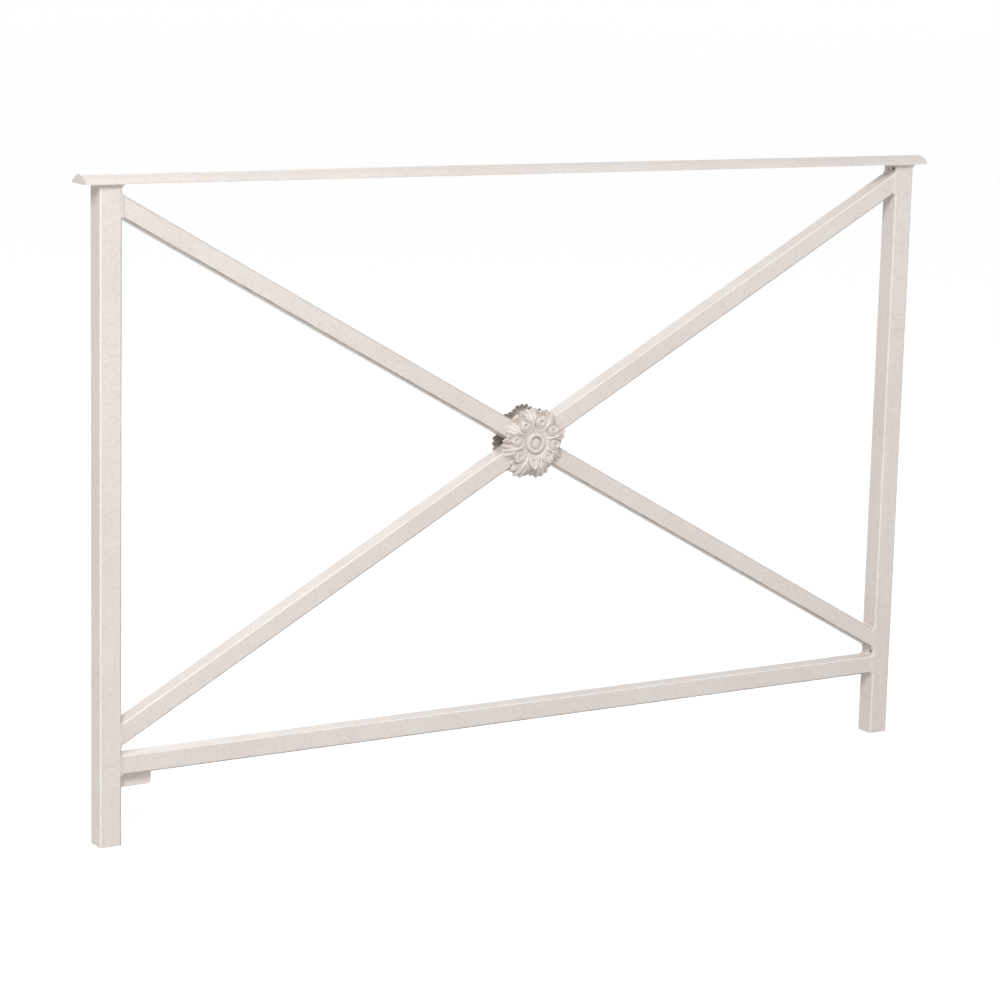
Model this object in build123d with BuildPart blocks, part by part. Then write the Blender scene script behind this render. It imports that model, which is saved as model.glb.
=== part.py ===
"""Street barrier with a Saint Andrew's cross: two square-tube posts, a half-round
handrail, a bottom rail, two crossed diagonals and a pair of cast leaf rosettes.

Millimetres, +Z up. X runs along the barrier, the street side faces -Y, and the origin is
the centre of the left post's foot.
"""
from build123d import *
from math import asin, atan2, cos, hypot, radians, sin, sqrt, tan
import os

# Overall sizes
overall_length = 1500.0      # outer face of one post to outer face of the other
post_height = 990.0          # foot to the underside of the handrail
rail_above_foot = 108.0      # foot to the underside of the bottom rail
corner_gap = 14.0            # free height between a diagonal and the rail beside it, at the post

# Square tubes
post_size = 35.0
post_wall = 2.0
post_corner = 3.0            # outer corner radius
bar_size = 30.0              # bottom rail and diagonals
bar_wall = 2.0
bar_corner = 3.0

# Handrail, a solid half-round bar
handrail_width = 50.0
handrail_height = 14.0
handrail_lip = 2.5           # upright edge below the dome
handrail_overhang = 25.0     # past the outer face of each post
handrail_end_round = 1.2

# Vent holes left in the posts for dipping, one in each nook beside a diagonal's end
vent_diameter = 6.0
vent_forward = 8.0           # in front of the post's centre line

# Weld beads
bar_weld_leg = 4.0
handrail_weld_leg = 5.0
weld_toe = 0.3               # how far a bead's thin edge stands off the tube
weld_setback = 0.5           # a bead stays this far inside the face of the post
crossing_weld_leg = 5.0

# Cast rosettes, one on each side of the crossing
leaf_count = 8
leaf_turn = 12.5             # angle of the first leaf above +X, degrees
leaf_reach = 62.0            # axis to the leaf tips
leaf_root = 44.0             # axis to the notch between two leaves
leaf_wall = 4.5
lobe_pairs = 2               # lobes on each side of a leaf's middle one
lobe_step = 8.0              # degrees from one lobe to the next
lobe_fall = 1.6              # first lobe beside the middle one reaches this much less
lobe_notch = 6.0             # depth of the notches between lobes
neck_radius = 20.0           # valley round the central ring
neck_height = 8.0
crown_radius = 31.0          # where the leaves stand highest
crown_height = 12.0          # that height in front of the bars
shoulder_radius = 46.0       # where the crown begins to turn down
shoulder_height = 9.0
brow_radius = 57.0           # where the leaves become the skirt between the bars
brow_height = 1.0
ring_outer = 17.0
ring_inner = 9.5
ring_height = 12.0
ring_round = 2.0             # slope of the ring's sides, in radius
dish_height = 7.0            # floor of the dish inside the ring
eye_circle = 34.0            # axis to the drilled eyes
eye_drill = 6.0
eye_rim = 12.5               # diameter of the raised rim round an eye
eye_rim_height = 1.5
eye_sides = 12
hub_sides = 32
half_joint = 0.4             # gap between the two castings at the middle plane

# Rivet that holds the two rosettes together through the falling diagonal
rivet_diameter = 10.0
rivet_head = 17.0
rivet_head_height = 2.0
rivet_head_slope = 2.5       # how far the head's side leans in
rivet_clearance = 0.1

# Small plate welded under the bottom rail, beside the left post
plate_length = 55.0
plate_drop = 22.0
plate_thickness = 3.0
plate_corner = 6.0
plate_rim = 3.5
plate_rim_height = 1.0

# Places that follow from the sizes
post_spacing = overall_length - post_size
left_inner = post_size / 2
right_inner = post_spacing - post_size / 2
clear_width = right_inner - left_inner
rail_top = rail_above_foot + bar_size
field_height = post_height - rail_top - 2 * corner_gap
cross_angle = atan2(field_height, clear_width) - asin(bar_size / hypot(clear_width, field_height))
cross_x = post_spacing / 2
cross_z = (post_height + rail_top) / 2
crossing = Vector(cross_x, 0, cross_z)
end_rise = clear_width / 2 * tan(cross_angle)
cut_height = bar_size / cos(cross_angle)
bar_reach = clear_width
bar_front = bar_size / 2

os.makedirs("parts", exist_ok=True)


def save(part, name):
    part.label = name
    export_step(part, f"parts/{name}.step")


def hull_corners(width, depth, corner):
    """Corners of an eight-sided outline whose short sides touch a tube's rounded corners."""
    cut = corner * (2 - sqrt(2))
    x, y = width / 2, depth / 2
    return ((x, cut - y), (x, y - cut), (x - cut, y), (cut - x, y),
            (-x, y - cut), (-x, cut - y), (cut - x, -y), (x - cut, -y))


def tube_hull(size, corner):
    Polygon(*hull_corners(size, size, corner), align=None)


def on_plane(plane, corners, rise=0.0):
    return [plane.from_local_coords(Vector(x, y + rise, 0)) for x, y in corners]


def faceted(levels):
    """Solid with flat facets between levels that have equally many corners."""
    outlines = [levels[0], levels[-1]]
    for level, following in zip(levels, levels[1:]):
        for this in range(len(level)):
            that = (this + 1) % len(level)
            outlines.append((level[this], level[that], following[that]))
            outlines.append((level[this], following[that], following[this]))
    return Solid(Shell([Face(Wire.make_polygon(outline, close=True)) for outline in outlines]))


def tube_section(size, wall, corner):
    RectangleRounded(size, size, corner)
    inside = size - 2 * wall
    RectangleRounded(inside, inside, max(corner - wall, 0.5), mode=Mode.SUBTRACT)


def along(angle, origin=crossing):
    """Plane square to a bar that lies in XZ at this angle above +X."""
    direction = Vector(cos(angle), 0, sin(angle))
    return Plane(origin=origin, x_dir=(0, 1, 0), z_dir=direction)


def facing(x, side):
    """Plane on the face of a post, looking out along side * X."""
    return Plane(origin=(x, 0, 0), x_dir=(0, side, 0), z_dir=(side, 0, 0))


# Posts
def post(x, side):
    """Square tube, open at its foot, with two vent holes in the face towards the cross."""
    with BuildPart() as tube:
        with BuildSketch(Plane.XY.move(Location((x, 0, 0)))):
            tube_section(post_size, post_wall, post_corner)
        extrude(amount=post_height)
        nooks = (post_height - corner_gap / 2, rail_top + corner_gap / 2)
        for z in nooks:
            hole = Plane(origin=(x + side * post_size / 2, -vent_forward, z), z_dir=(side, 0, 0))
            with BuildSketch(hole):
                Circle(vent_diameter / 2)
            extrude(amount=-2 * post_wall, mode=Mode.SUBTRACT)
    return tube.part


left_post = post(0, 1)
right_post = post(post_spacing, -1)
save(left_post, "left_post")
save(right_post, "right_post")

# Handrail: flat underneath, upright lips, one arc over the top
with BuildPart() as handrail:
    half = handrail_width / 2
    with BuildSketch(Plane.YZ.offset(-post_size / 2 - handrail_overhang)):
        with BuildLine():
            Polyline((-half, handrail_lip), (-half, 0), (half, 0), (half, handrail_lip))
            ThreePointArc((half, handrail_lip), (0, handrail_height), (-half, handrail_lip))
        make_face()
    extrude(amount=overall_length + 2 * handrail_overhang)
    chamfer(handrail.faces().sort_by(Axis.X)[0].edges(), handrail_end_round / 2)
    chamfer(handrail.faces().sort_by(Axis.X)[-1].edges(), handrail_end_round / 2)
handrail_part = handrail.part.moved(Location((0, 0, post_height)))
save(handrail_part, "handrail")

# Bottom rail
with BuildPart() as bottom_rail:
    rail_start = Plane(origin=(left_inner, 0, rail_above_foot + bar_size / 2),
                       x_dir=(0, 1, 0), z_dir=(1, 0, 0))
    with BuildSketch(rail_start):
        tube_section(bar_size, bar_wall, bar_corner)
    extrude(amount=clear_width)
save(bottom_rail.part, "bottom_rail")

# Falling diagonal: one whole bar, mitred on the posts and drilled for the rivet
with BuildPart() as falling_diagonal:
    with BuildSketch(along(-cross_angle)):
        tube_section(bar_size, bar_wall, bar_corner)
    extrude(amount=bar_reach, both=True)
    split(bisect_by=Plane.YZ.offset(left_inner), keep=Keep.TOP)
    split(bisect_by=Plane.YZ.offset(right_inner), keep=Keep.BOTTOM)
    with BuildSketch(Plane(origin=crossing, z_dir=(0, -1, 0))):
        Circle(rivet_diameter / 2 + rivet_clearance)
    extrude(amount=bar_size, both=True, mode=Mode.SUBTRACT)
save(falling_diagonal.part, "falling_diagonal")


# Rising diagonal: two bars that butt against the sides of the falling one
def rising_half(side):
    """side is -1 for the lower bar, +1 for the upper one."""
    across = Vector(sin(cross_angle), 0, cos(cross_angle))
    butt = Plane(origin=crossing + across * (side * bar_size / 2), z_dir=across * side)
    with BuildPart() as bar:
        with BuildSketch(along(cross_angle)):
            tube_section(bar_size, bar_wall, bar_corner)
        extrude(amount=side * bar_reach)
        split(bisect_by=butt, keep=Keep.TOP)
        if side < 0:
            split(bisect_by=Plane.YZ.offset(left_inner), keep=Keep.TOP)
        else:
            split(bisect_by=Plane.YZ.offset(right_inner), keep=Keep.BOTTOM)
    return bar.part


save(rising_half(-1), "rising_diagonal_lower")
save(rising_half(1), "rising_diagonal_upper")


# Weld beads between the bars and the posts
def bar_weld(x, side, z, angle, height):
    """Collar round the end of a bar that meets the post face at x and leaves it along side."""
    face = facing(x, side)
    root = hull_corners(post_size - 2 * weld_setback, height + 2 * bar_weld_leg, bar_corner)
    toe = hull_corners(bar_size + 2 * weld_toe, height + 2 * weld_toe, bar_corner)
    toe_z = z + side * bar_weld_leg * tan(angle)
    with BuildPart() as bead:
        add(faceted((on_plane(face.offset(-post_corner), root, z), on_plane(face, root, z),
                     on_plane(face.offset(bar_weld_leg), toe, toe_z))))
        with BuildSketch(Plane.XY.move(Location((x - side * post_size / 2, 0, 0)))):
            tube_hull(post_size, post_corner)
        extrude(amount=post_height, mode=Mode.SUBTRACT)
        with BuildSketch(along(angle, Vector(x, 0, z))):
            tube_hull(bar_size, bar_corner)
        extrude(amount=2 * bar_size, both=True, mode=Mode.SUBTRACT)
    return bead.part


rail_z = rail_above_foot + bar_size / 2
save(bar_weld(left_inner, 1, rail_z, 0, bar_size), "left_rail_weld")
save(bar_weld(right_inner, -1, rail_z, 0, bar_size), "right_rail_weld")
save(bar_weld(left_inner, 1, cross_z + end_rise, -cross_angle, cut_height), "upper_left_weld")
save(bar_weld(right_inner, -1, cross_z - end_rise, -cross_angle, cut_height), "lower_right_weld")
save(bar_weld(left_inner, 1, cross_z - end_rise, cross_angle, cut_height), "lower_left_weld")
save(bar_weld(right_inner, -1, cross_z + end_rise, cross_angle, cut_height), "upper_right_weld")


# Weld beads between the posts and the handrail
def handrail_weld(x):
    foot = Plane.XY.move(Location((x, 0, 0)))
    root_size = post_size + 2 * handrail_weld_leg
    toe_size = post_size + 2 * weld_toe
    root = hull_corners(root_size, root_size, post_corner + handrail_weld_leg)
    toe = hull_corners(toe_size, toe_size, post_corner + weld_toe)
    with BuildPart() as bead:
        add(faceted((on_plane(foot.offset(post_height), root),
                     on_plane(foot.offset(post_height - handrail_weld_leg), toe))))
        with BuildSketch(foot):
            tube_hull(post_size, post_corner)
        extrude(amount=post_height, mode=Mode.SUBTRACT)
    return bead.part


save(handrail_weld(0), "left_handrail_weld")
save(handrail_weld(post_spacing), "right_handrail_weld")


# Weld strips in the four inner corners of the crossing, ground flush at front and back
def corner_weld(heading):
    """heading is the direction of the open field beside the corner, in degrees above +X."""
    out = Vector(cos(radians(heading)), 0, sin(radians(heading)))
    upright = abs(out.Z) > 0.5
    spread = radians(90) - cross_angle if upright else cross_angle
    apex = crossing + out * (bar_size / 2 / sin(spread))
    plane = Plane(origin=apex, x_dir=out, z_dir=(0, -1, 0))
    reach_in = crossing_weld_leg * cos(spread)
    reach_out = crossing_weld_leg * sin(spread)
    with BuildPart() as strip:
        with BuildSketch(plane):
            with BuildLine():
                Polyline((0, 0), (reach_in, reach_out), (reach_in, -reach_out), close=True)
            make_face()
        extrude(amount=bar_size / 2 - bar_corner, both=True)
    return strip.part


save(corner_weld(180), "crossing_weld_left")
save(corner_weld(0), "crossing_weld_right")
save(corner_weld(90), "crossing_weld_top")
save(corner_weld(270), "crossing_weld_bottom")


# Rosettes. Heights stand off the front faces of the bars, radii off the rivet's axis.
seat = Plane(origin=crossing + Vector(0, -bar_front, 0), x_dir=(1, 0, 0), z_dir=(0, -1, 0))
turning = Plane(origin=seat.origin, x_dir=(1, 0, 0), z_dir=(0, 0, 1))
rivet_axis = Axis(seat.origin, (0, 1, 0))
skirt_depth = bar_front - half_joint / 2

def polar(radius, angle):
    return radius * cos(radians(angle)), radius * sin(radians(angle))


def lobing(radius):
    """How much of the full lobes a level at this radius shows: none at the neck, all at the tips."""
    return ((radius - neck_radius) / (leaf_reach - neck_radius)) ** 2


def leaf_level(reach):
    """Corners of the leaves at one level: lobe tips, notches, and a root between leaves."""
    share = lobing(reach)
    corners = []
    for leaf in range(leaf_count):
        middle = leaf_turn + leaf * 360 / leaf_count
        for lobe in range(-lobe_pairs, lobe_pairs + 1):
            tip = reach - lobe_fall * share * lobe ** 2
            corners.append(polar(tip, middle + lobe * lobe_step))
            if lobe < lobe_pairs:
                corners.append(polar(tip - lobe_notch * share, middle + (lobe + 0.5) * lobe_step))
        corners.append(polar(reach - (leaf_reach - leaf_root) * share, middle + 180 / leaf_count))
    return corners


def hollow_level(reach):
    """Corners of the hollow behind the leaves at one level, without the lobes."""
    share = lobing(reach)
    corners = []
    for leaf in range(leaf_count):
        middle = leaf_turn + leaf * 360 / leaf_count
        for lobe in (-lobe_pairs, 0, lobe_pairs):
            corners.append(polar(reach - lobe_fall * share * lobe ** 2, middle + lobe * lobe_step))
        corners.append(polar(reach - (leaf_reach - leaf_root) * share, middle + 180 / leaf_count))
    return corners


with BuildPart() as front_rosette:
    # Leaf shell, fluted by its lobes: over the crown, round the shoulder, down to the middle plane
    shell = ((neck_radius, neck_height), (crown_radius, crown_height),
             (shoulder_radius, shoulder_height), (brow_radius, brow_height),
             (leaf_reach, -skirt_depth))
    hollow = ((crown_radius + leaf_wall, crown_height - leaf_wall),
              (shoulder_radius - leaf_wall / 2, shoulder_height - leaf_wall),
              (leaf_reach - 2 * leaf_wall, -skirt_depth))
    add(faceted([on_plane(seat.offset(height), leaf_level(radius)) for radius, height in shell]))
    add(faceted([on_plane(seat.offset(height), hollow_level(radius)) for radius, height in hollow]),
        mode=Mode.SUBTRACT)
    # Hub that stands on the bars, the ring on it and the ring's dish
    with BuildSketch(seat):
        RegularPolygon(neck_radius, hub_sides)
    extrude(amount=neck_height)
    with BuildSketch(turning):
        with BuildLine():
            Polyline((0, -dish_height), (ring_outer, -dish_height), (ring_outer, -neck_height),
                     (ring_outer - ring_round, -ring_height), (ring_inner + ring_round, -ring_height),
                     (0, -ring_height), close=True)
        make_face()
    revolve(axis=rivet_axis)
    with BuildSketch(turning):
        with BuildLine():
            Polyline((0, -dish_height), (ring_inner, -dish_height),
                     (ring_inner + ring_round, -ring_height), (0, -ring_height), close=True)
        make_face()
    revolve(axis=rivet_axis, mode=Mode.SUBTRACT)
    # Eyes between the leaves: raised rims, then their drillings
    with BuildSketch(seat.offset(crown_height - leaf_wall)):
        with PolarLocations(eye_circle, leaf_count, start_angle=leaf_turn + 180 / leaf_count):
            RegularPolygon(eye_rim / 2, eye_sides)
    extrude(amount=leaf_wall + eye_rim_height)
    with BuildSketch(seat):
        with PolarLocations(eye_circle, leaf_count, start_angle=leaf_turn + 180 / leaf_count):
            RegularPolygon(eye_drill / 2, eye_sides)
    extrude(amount=2 * crown_height, mode=Mode.SUBTRACT)
    # Rivet hole, and the saddles that let the casting down over the crossed bars
    with BuildSketch(seat):
        Circle(rivet_diameter / 2 + rivet_clearance)
    extrude(amount=dish_height, mode=Mode.SUBTRACT)
    for angle in (-cross_angle, cross_angle):
        with BuildSketch(along(angle)):
            tube_hull(bar_size, bar_corner)
        extrude(amount=2 * leaf_reach, both=True, mode=Mode.SUBTRACT)
save(front_rosette.part, "front_rosette")
save(mirror(front_rosette.part, about=Plane.XZ), "rear_rosette")

# Rivet through both castings and the falling diagonal, a low head in each dish
with BuildPart() as centre_rivet:
    with BuildSketch(Plane(origin=crossing, x_dir=(1, 0, 0), z_dir=(0, -1, 0))):
        Circle(rivet_diameter / 2)
    extrude(amount=bar_front + dish_height, both=True)
    for side in (-1, 1):
        head_seat = crossing + Vector(0, side * (bar_front + dish_height), 0)
        with BuildSketch(Plane(origin=head_seat, x_dir=(1, 0, 0), z_dir=(0, 0, side))):
            with BuildLine():
                Polyline((0, rivet_head_height), (0, 0), (rivet_head / 2, 0),
                         (rivet_head / 2 - rivet_head_slope, rivet_head_height), close=True)
            make_face()
        revolve(axis=Axis(head_seat, (0, 1, 0)))
save(centre_rivet.part, "centre_rivet")


# Bare plate under the bottom rail, its corner cut back round the weld bead
def plate_outline():
    corner_cut = bar_weld_leg + 1
    end = left_inner + plate_length
    foot = rail_above_foot - plate_drop
    Polygon((left_inner + corner_cut, rail_above_foot), (end, rail_above_foot), (end, foot),
            (left_inner, foot), (left_inner, rail_above_foot - corner_cut), align=None)
    free_corner = vertices().group_by(Axis.Y)[0].sort_by(Axis.X)[-1]
    fillet(free_corner, plate_corner)


with BuildPart() as rail_plate:
    with BuildSketch(Plane.XZ):
        plate_outline()
    extrude(amount=plate_thickness / 2, both=True)
    with BuildSketch(Plane.XZ.offset(plate_thickness / 2)):
        plate_outline()
        offset(amount=-plate_rim, mode=Mode.SUBTRACT)
    extrude(amount=plate_rim_height)
save(rail_plate.part, "rail_plate")
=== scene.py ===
"""Street barrier with crossed bars and cast leaf rosettes: finishes, cast detail and stage."""
from math import atan2, cos, pi, radians, sin, tan

import bpy
import numpy as np
from bpy.props import FloatProperty, FloatVectorProperty, PointerProperty
from bpy.types import Operator, Panel, PropertyGroup
from mathutils import Matrix, Vector


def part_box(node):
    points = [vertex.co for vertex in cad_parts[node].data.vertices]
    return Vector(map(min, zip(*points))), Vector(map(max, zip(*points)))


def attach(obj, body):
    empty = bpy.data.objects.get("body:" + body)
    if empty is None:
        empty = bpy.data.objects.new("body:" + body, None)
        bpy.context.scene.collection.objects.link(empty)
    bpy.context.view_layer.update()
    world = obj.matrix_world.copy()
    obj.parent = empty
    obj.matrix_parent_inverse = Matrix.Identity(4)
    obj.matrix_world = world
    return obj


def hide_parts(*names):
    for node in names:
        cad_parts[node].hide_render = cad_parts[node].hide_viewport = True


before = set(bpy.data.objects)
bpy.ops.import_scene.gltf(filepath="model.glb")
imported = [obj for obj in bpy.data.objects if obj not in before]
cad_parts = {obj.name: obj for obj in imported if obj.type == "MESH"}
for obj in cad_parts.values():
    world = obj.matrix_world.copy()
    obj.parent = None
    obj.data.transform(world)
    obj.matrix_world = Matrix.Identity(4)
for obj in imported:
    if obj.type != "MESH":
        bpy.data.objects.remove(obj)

bl_info = {
    "name": "Street barrier",
    "version": (1, 0, 0),
    "blender": (4, 5, 0),
    "location": "View3D > Sidebar > Barrier",
    "description": "Finishes and cast detail for a street barrier with a rosette at its crossing",
    "category": "Object",
}

MM = 0.001
MIX_A, MIX_B, MIX_RESULT = 6, 7, 2      # the Mix node's colour sockets


# Sizes and colours that a user would change

class PaintSettings(PropertyGroup):
    base: FloatVectorProperty(
        name="Paint", description="Main colour of the satin paint",
        subtype="COLOR", size=3, min=0, max=1, default=(0.735, 0.675, 0.632))
    warm: FloatVectorProperty(
        name="Warm mottling", description="Colour of the faint pinkish clouds in the paint",
        subtype="COLOR", size=3, min=0, max=1, default=(0.700, 0.612, 0.572))
    pale: FloatVectorProperty(
        name="Pale mottling", description="Colour of the faint pale clouds in the paint",
        subtype="COLOR", size=3, min=0, max=1, default=(0.800, 0.752, 0.712))
    # Colour for dust and painted shade in the casting's hollows, and for the painted shade on
    # undersides
    recess: FloatVectorProperty(
        name="Recesses", description="Colour of the paint where dust sits in cast hollows",
        subtype="COLOR", size=3, min=0, max=1, default=(0.42, 0.350, 0.300))
    # Painted shade: the dark line along tube corners that face away from the key lamp
    edge: FloatVectorProperty(
        name="Painted edge shade",
        description="Colour of the thin line of dirt along edges that face right or down",
        subtype="COLOR", size=3, min=0, max=1, default=(0.26, 0.215, 0.185))
    # Rubbed paint along outside edges, partly a painted highlight, and the painted highlight along
    # tube corners that face the key lamp
    rubbed_and_lit: FloatVectorProperty(
        name="Rubbed edges and painted highlights",
        description="Colour where the paint is rubbed along edges that face left or up",
        subtype="COLOR", size=3, min=0, max=1, default=(0.96, 0.94, 0.92))


class RosetteSettings(PropertyGroup):
    turn: FloatProperty(
        name="Turn", description="Angle of the first leaf above the barrier's length",
        subtype="ANGLE", default=radians(12.5))
    reach: FloatProperty(
        name="Reach", description="From the axis to the longest leaf tips",
        unit="LENGTH", default=0.062)
    root: FloatProperty(
        name="Root", description="From the axis to the notch between two leaves",
        unit="LENGTH", default=0.050)
    notch: FloatProperty(
        name="Lobe notches", description="Depth of the notches between a leaf's lobes",
        unit="LENGTH", default=0.0042)
    eye_circle: FloatProperty(
        name="Eye circle", description="From the axis to the middle of the eyes",
        unit="LENGTH", default=0.034)
    eye_width: FloatProperty(
        name="Eye", description="Diameter of the hollow of an eye",
        unit="LENGTH", default=0.0060)


class WeldSettings(PropertyGroup):
    bar_leg: FloatProperty(
        name="Bar welds", description="Leg of the beads round the ends of the bars",
        unit="LENGTH", default=0.004)
    rail_leg: FloatProperty(
        name="Handrail welds", description="Leg of the beads under the handrail",
        unit="LENGTH", default=0.005)


class StageSettings(PropertyGroup):
    floor: FloatVectorProperty(
        name="Floor", description="Colour of the studio floor",
        subtype="COLOR", size=3, min=0, max=1, default=(0.62, 0.62, 0.62))
    sky: FloatProperty(
        name="Room light", description="Strength of the even light in the room",
        min=0, max=5, default=0.44)
    key: FloatProperty(
        name="Key lamp", description="Power of the large lamp above and to the left",
        min=0, max=5000, default=158)
    fill: FloatProperty(
        name="Fill lamp", description="Power of the lamp at the right",
        min=0, max=5000, default=17)
    back: FloatProperty(
        name="Back lamp", description="Power of the lamp behind the barrier",
        min=0, max=5000, default=28)


# Shader helpers

def new_group(name, inputs, outputs):
    """An empty shader node group with named sockets."""
    group = bpy.data.node_groups.new(name, "ShaderNodeTree")
    for label, kind, value in inputs:
        socket = group.interface.new_socket(name=label, in_out="INPUT", socket_type=kind)
        if value is not None:
            socket.default_value = value
    for label, kind in outputs:
        group.interface.new_socket(name=label, in_out="OUTPUT", socket_type=kind)
    return group, group.nodes.new("NodeGroupInput"), group.nodes.new("NodeGroupOutput")


def feed(tree, value, socket):
    """Link an output to a socket, or set the socket's own value."""
    if hasattr(value, "links"):
        tree.links.new(value, socket)
    else:
        socket.default_value = value


def noise(tree, vector, scale, detail=3.0, rough=0.5):
    node = tree.nodes.new("ShaderNodeTexNoise")
    tree.links.new(vector, node.inputs["Vector"])
    feed(tree, scale, node.inputs["Scale"])
    node.inputs["Detail"].default_value = detail
    node.inputs["Roughness"].default_value = rough
    return node.outputs["Fac"]


def remap(tree, value, low, high, out_low=0.0, out_high=1.0):
    node = tree.nodes.new("ShaderNodeMapRange")
    tree.links.new(value, node.inputs["Value"])
    node.inputs["From Min"].default_value = low
    node.inputs["From Max"].default_value = high
    node.inputs["To Min"].default_value = out_low
    node.inputs["To Max"].default_value = out_high
    return node.outputs["Result"]


def maths(tree, operation, a, b):
    node = tree.nodes.new("ShaderNodeMath")
    node.operation = operation
    feed(tree, a, node.inputs[0])
    feed(tree, b, node.inputs[1])
    return node.outputs[0]


def blend_colour(tree, factor, a, b):
    node = tree.nodes.new("ShaderNodeMix")
    node.data_type = "RGBA"
    tree.links.new(factor, node.inputs["Factor"])
    for index, value in ((MIX_A, a), (MIX_B, b)):
        feed(tree, value if hasattr(value, "links") else (*value, 1.0), node.inputs[index])
    return node.outputs[MIX_RESULT]


def seen_by_camera(tree):
    """1 for rays from the camera, and for those it sees mirrored or through something clear."""
    rays = tree.nodes.new("ShaderNodeLightPath")
    seen = maths(tree, "MAXIMUM", rays.outputs["Is Camera Ray"], rays.outputs["Is Glossy Ray"])
    return maths(tree, "MAXIMUM", seen, rays.outputs["Is Transmission Ray"])


def mottled_paint_group():
    """Paint colour with clouds, specks and dots, and the roughness that goes with them."""
    broad_share, speck_share, dot_share = 0.5, 0.6, 0.85
    group, given, out = new_group(
        "Mottled paint",
        (("Vector", "NodeSocketVector", None), ("Base", "NodeSocketColor", None),
         ("Warm", "NodeSocketColor", None), ("Pale", "NodeSocketColor", None),
         ("Cloud Scale", "NodeSocketFloat", 14.0), ("Cloud Amount", "NodeSocketFloat", 0.5),
         ("Gloss", "NodeSocketFloat", 0.42)),
        (("Color", "NodeSocketColor"), ("Roughness", "NodeSocketFloat")))
    vector = given.outputs["Vector"]
    clouds = noise(group, vector, given.outputs["Cloud Scale"], 4.0, 0.55)
    clouds = remap(group, clouds, 0.36, 0.66)
    specks = remap(group, noise(group, vector, 260.0, 2.0, 0.6), 0.42, 0.68)
    broad = remap(group, noise(group, vector, 3.1, 2.0, 0.5), 0.38, 0.64)
    warm = blend_colour(group, maths(group, "MULTIPLY", clouds, given.outputs["Cloud Amount"]),
                        given.outputs["Base"], given.outputs["Warm"])
    pale = blend_colour(group, maths(group, "MULTIPLY", broad, broad_share),
                        warm, given.outputs["Pale"])
    speckled = blend_colour(group, maths(group, "MULTIPLY", specks, speck_share),
                            pale, given.outputs["Pale"])
    dots = remap(group, noise(group, vector, 190.0, 2.0, 0.6), 0.50, 0.70)
    dotted = blend_colour(group, maths(group, "MULTIPLY", dots, dot_share),
                          speckled, given.outputs["Warm"])
    group.links.new(dotted, out.inputs["Color"])
    drift = remap(group, clouds, 0.0, 1.0, -0.035, 0.05)
    group.links.new(maths(group, "ADD", given.outputs["Gloss"], drift), out.inputs["Roughness"])
    return group


def orange_peel_group():
    """Height of a sprayed coat: orange peel, slow waves and a few dust nibs."""
    nib_share = 0.5
    group, given, out = new_group(
        "Orange peel",
        (("Vector", "NodeSocketVector", None), ("Peel Scale", "NodeSocketFloat", 420.0),
         ("Peel", "NodeSocketFloat", 1.0), ("Wave", "NodeSocketFloat", 1.0)),
        (("Height", "NodeSocketFloat"),))
    vector = given.outputs["Vector"]
    peel = noise(group, vector, given.outputs["Peel Scale"], 2.0, 0.45)
    peel = maths(group, "MULTIPLY", peel, given.outputs["Peel"])
    wave = maths(group, "MULTIPLY", noise(group, vector, 38.0, 2.0, 0.5), given.outputs["Wave"])
    spots = group.nodes.new("ShaderNodeTexVoronoi")
    spots.inputs["Scale"].default_value = 95.0
    group.links.new(vector, spots.inputs["Vector"])
    nibs = remap(group, spots.outputs["Distance"], 0.0, 0.075, 1.0, 0.0)
    total = maths(group, "ADD", maths(group, "ADD", peel, wave),
                  maths(group, "MULTIPLY", nibs, nib_share))
    group.links.new(total, out.inputs["Height"])
    return group


def rubbed_and_lit_edge_group():
    """Mask that is 1 along outside edges and broken up by noise, for rubbed paint that is partly a
    painted highlight.
    """
    group, given, out = new_group(
        "Rubbed edges and painted highlights",
        (("Vector", "NodeSocketVector", None), ("Radius", "NodeSocketFloat", 0.002),
         ("Amount", "NodeSocketFloat", 0.6)),
        (("Mask", "NodeSocketFloat"),))
    bevel = group.nodes.new("ShaderNodeBevel")
    bevel.samples = 6
    group.links.new(given.outputs["Radius"], bevel.inputs["Radius"])
    surface = group.nodes.new("ShaderNodeNewGeometry")
    turn = group.nodes.new("ShaderNodeVectorMath")
    turn.operation = "DOT_PRODUCT"
    group.links.new(bevel.outputs["Normal"], turn.inputs[0])
    group.links.new(surface.outputs["True Normal"], turn.inputs[1])
    bend = remap(group, turn.outputs["Value"], 0.995, 0.90)
    broken = noise(group, given.outputs["Vector"], 60.0, 3.0, 0.6)
    broken = remap(group, broken, 0.34, 0.62, 0.35, 1.0)
    mask = maths(group, "MULTIPLY", bend, broken)
    mask = maths(group, "MULTIPLY", mask, given.outputs["Amount"])
    group.links.new(mask, out.inputs["Mask"])
    return group


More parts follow.
